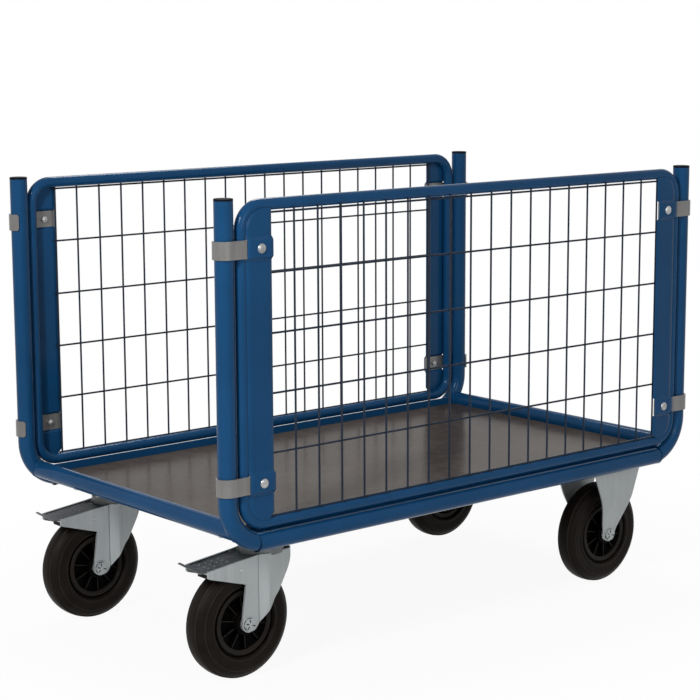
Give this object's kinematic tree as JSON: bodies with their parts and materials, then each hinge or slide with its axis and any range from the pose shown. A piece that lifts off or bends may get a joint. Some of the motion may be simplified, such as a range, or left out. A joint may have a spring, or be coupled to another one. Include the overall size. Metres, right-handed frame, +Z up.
{
  "type": "mesh-sided platform trolley",
  "caption": "Platform trolley with a bent tube frame, wooden deck, open ends and lift-off mesh side panels, on fixed front castors and braked swivel rear castors.",
  "frame": {"origin": "on the floor, under the middle of the deck", "axes": "+X along the length towards the end with the fixed castors, +Y to the left side, +Z up"},
  "size_m": [1.1554, 0.6818, 0.833],
  "materials": {
    "blue_powder_coat": "smooth satin powder coat over steel tube and sheet",
    "dark_wire": "thin dark blue powder coat over steel wire",
    "deck_face": "brown-grey mottled phenolic film on plywood",
    "black_cap": "matt moulded cap",
    "galvanised": "dull galvanised strip",
    "zinc_plate": "bright zinc-plated pressed sheet",
    "bright_fastener": "bright zinc-plated fastener",
    "pedal_grey": "textured dark grey coating",
    "black_rubber": "matt moulded rubber",
    "tyre_rubber": "brownish black solid rubber",
    "rim_nylon": "black moulded nylon with a slight sheen"
  },
  "bodies": {
    "frame": {"castor_bolts": "bright_fastener", "castor_channel_front": "blue_powder_coat", "castor_channel_rear": "blue_powder_coat", "cross_rail_front": "blue_powder_coat", "cross_rail_rear": "blue_powder_coat", "deck_board": "deck_face", "edge_strip_left": "blue_powder_coat", "edge_strip_right": "blue_powder_coat", "fixed_axle_left": "bright_fastener", "fixed_axle_right": "bright_fastener", "fixed_bracket_left": "zinc_plate", "fixed_bracket_right": "zinc_plate", "king_bolt_left": "bright_fastener", "king_bolt_right": "bright_fastener", "middle_channel": "blue_powder_coat", "post_caps": "black_cap", "post_front_left": "blue_powder_coat", "post_front_right": "blue_powder_coat", "post_rear_left": "blue_powder_coat", "post_rear_right": "blue_powder_coat", "rail_left": "blue_powder_coat", "rail_right": "blue_powder_coat", "swivel_plate_left": "zinc_plate", "swivel_plate_right": "zinc_plate"},
    "rear_right_swivel": {"fork_right": "zinc_plate", "ball_race_right": "zinc_plate", "swivel_axle_right": "bright_fastener", "pedal_pins_right": "bright_fastener"},
    "rear_right_brake": {"brake_pedal_right": "pedal_grey", "brake_shoe_right": "black_rubber"},
    "rear_right_wheel": {"tyre_rear_right": "tyre_rubber", "rim_rear_right": "rim_nylon", "bearing_rear_right": "bright_fastener"},
    "front_right_wheel": {"tyre_front_right": "tyre_rubber", "rim_front_right": "rim_nylon", "bearing_front_right": "bright_fastener"},
    "right_panel": {"panel_tube_right": "blue_powder_coat", "wire_mesh_right": "dark_wire", "end_plate_rear_right": "blue_powder_coat", "end_plate_front_right": "blue_powder_coat", "hook_straps_right": "galvanised", "strap_bolts_right": "bright_fastener"},
    "rear_left_swivel": {"fork_left": "zinc_plate", "ball_race_left": "zinc_plate", "swivel_axle_left": "bright_fastener", "pedal_pins_left": "bright_fastener"},
    "rear_left_brake": {"brake_pedal_left": "pedal_grey", "brake_shoe_left": "black_rubber"},
    "rear_left_wheel": {"tyre_rear_left": "tyre_rubber", "rim_rear_left": "rim_nylon", "bearing_rear_left": "bright_fastener"},
    "front_left_wheel": {"tyre_front_left": "tyre_rubber", "rim_front_left": "rim_nylon", "bearing_front_left": "bright_fastener"},
    "left_panel": {"panel_tube_left": "blue_powder_coat", "wire_mesh_left": "dark_wire", "end_plate_rear_left": "blue_powder_coat", "end_plate_front_left": "blue_powder_coat", "hook_straps_left": "galvanised", "strap_bolts_left": "bright_fastener"}
  },
  "joints": [
    {"name": "rear_right_swivel_turn", "type": "hinge", "parent": "frame", "child": "rear_right_swivel", "pos_m": [-0.425, -0.231, 0.226], "axis": [0, 0, 1], "continuous": true},
    {"name": "rear_right_brake_press", "type": "hinge", "parent": "rear_right_swivel", "child": "rear_right_brake", "pos_m": [-0.49, -0.231, 0.196], "axis": [0, -1, 0], "range_deg": [0, 7]},
    {"name": "rear_right_wheel_roll", "type": "hinge", "parent": "rear_right_swivel", "child": "rear_right_wheel", "pos_m": [-0.478, -0.231, 0.1], "axis": [0, 1, 0], "continuous": true},
    {"name": "front_right_wheel_roll", "type": "hinge", "parent": "frame", "child": "front_right_wheel", "pos_m": [0.425, -0.231, 0.1], "axis": [0, 1, 0], "continuous": true},
    {"name": "right_panel_lift", "type": "slide", "parent": "frame", "child": "right_panel", "axis": [0, 0, 1], "range_m": [0, 0.49]},
    {"name": "rear_left_swivel_turn", "type": "hinge", "parent": "frame", "child": "rear_left_swivel", "pos_m": [-0.425, 0.231, 0.226], "axis": [0, 0, 1], "continuous": true},
    {"name": "rear_left_brake_press", "type": "hinge", "parent": "rear_left_swivel", "child": "rear_left_brake", "pos_m": [-0.49, 0.231, 0.196], "axis": [0, -1, 0], "range_deg": [0, 7]},
    {"name": "rear_left_wheel_roll", "type": "hinge", "parent": "rear_left_swivel", "child": "rear_left_wheel", "pos_m": [-0.478, 0.231, 0.1], "axis": [0, 1, 0], "continuous": true},
    {"name": "front_left_wheel_roll", "type": "hinge", "parent": "frame", "child": "front_left_wheel", "pos_m": [0.425, 0.231, 0.1], "axis": [0, 1, 0], "continuous": true},
    {"name": "left_panel_lift", "type": "slide", "parent": "frame", "child": "left_panel", "axis": [0, 0, 1], "range_m": [0, 0.49]}
  ]
}
